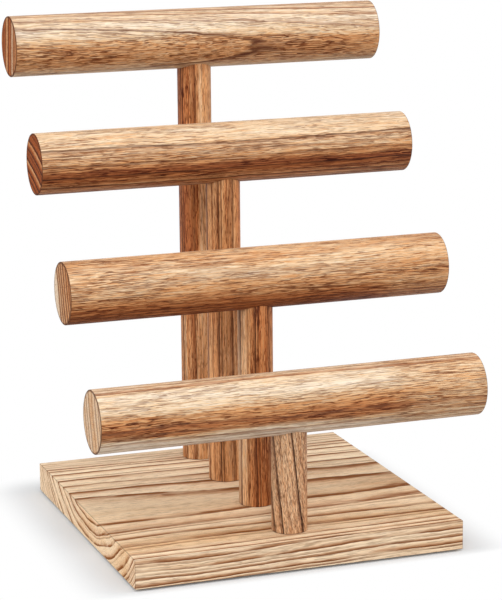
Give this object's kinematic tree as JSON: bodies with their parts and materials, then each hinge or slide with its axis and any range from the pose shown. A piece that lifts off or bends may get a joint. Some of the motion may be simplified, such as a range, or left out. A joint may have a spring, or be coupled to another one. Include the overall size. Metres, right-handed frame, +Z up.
{
  "type": "tiered jewellery stand",
  "caption": "Wooden display stand for necklaces, bracelets and watches: stepped rows of round crossbars on round posts over a flat square-edged board.",
  "frame": {"origin": "centre of the board's outline, at the level that the felt pads stand on", "axes": "+Z up, +X to the right along the bars, +Y to the back, where the tallest tier stands"},
  "size_m": [0.268, 0.236, 0.3495],
  "materials": {
    "board_wood": "pale flat-sawn board, satin, grain along X",
    "bar_wood": "pale turned rod, satin, grain along the bar",
    "post_wood": "warm red-brown turned rod, satin, grain upright",
    "zinc_steel": "bright zinc-plated screw steel",
    "insert_brass": "plain machined brass",
    "foot_felt": "dark brown pressed felt"
  },
  "bodies": {
    "base": {"base_board": "board_wood", "foot_front_left": "foot_felt", "foot_front_right": "foot_felt", "foot_rear_left": "foot_felt", "foot_rear_right": "foot_felt", "washer_1": "zinc_steel", "washer_2": "zinc_steel", "washer_3": "zinc_steel", "washer_4": "zinc_steel"},
    "tier_1": {"post_1": "post_wood", "bar_1": "bar_wood", "dowel_screw_1": "zinc_steel", "threaded_insert_1": "insert_brass", "base_bolt_1": "zinc_steel"},
    "tier_2": {"post_2": "post_wood", "bar_2": "bar_wood", "dowel_screw_2": "zinc_steel", "threaded_insert_2": "insert_brass", "base_bolt_2": "zinc_steel"},
    "tier_3": {"post_3": "post_wood", "bar_3": "bar_wood", "dowel_screw_3": "zinc_steel", "threaded_insert_3": "insert_brass", "base_bolt_3": "zinc_steel"},
    "tier_4": {"post_4": "post_wood", "bar_4": "bar_wood", "dowel_screw_4": "zinc_steel", "threaded_insert_4": "insert_brass", "base_bolt_4": "zinc_steel"}
  },
  "joints": [
    {"name": "tier_1_swivel", "type": "hinge", "parent": "base", "child": "tier_1", "pos_m": [0, 0.095, 0.0215], "axis": [0, 0, 1], "range_deg": [-90, 90]},
    {"name": "tier_2_swivel", "type": "hinge", "parent": "base", "child": "tier_2", "pos_m": [0, 0.035, 0.0215], "axis": [0, 0, 1], "range_deg": [-56, 56]},
    {"name": "tier_3_swivel", "type": "hinge", "parent": "base", "child": "tier_3", "pos_m": [0, -0.029, 0.0215], "axis": [0, 0, 1], "range_deg": [-58, 58]},
    {"name": "tier_4_swivel", "type": "hinge", "parent": "base", "child": "tier_4", "pos_m": [0, -0.093, 0.0215], "axis": [0, 0, 1], "range_deg": [-58, 58]}
  ]
}
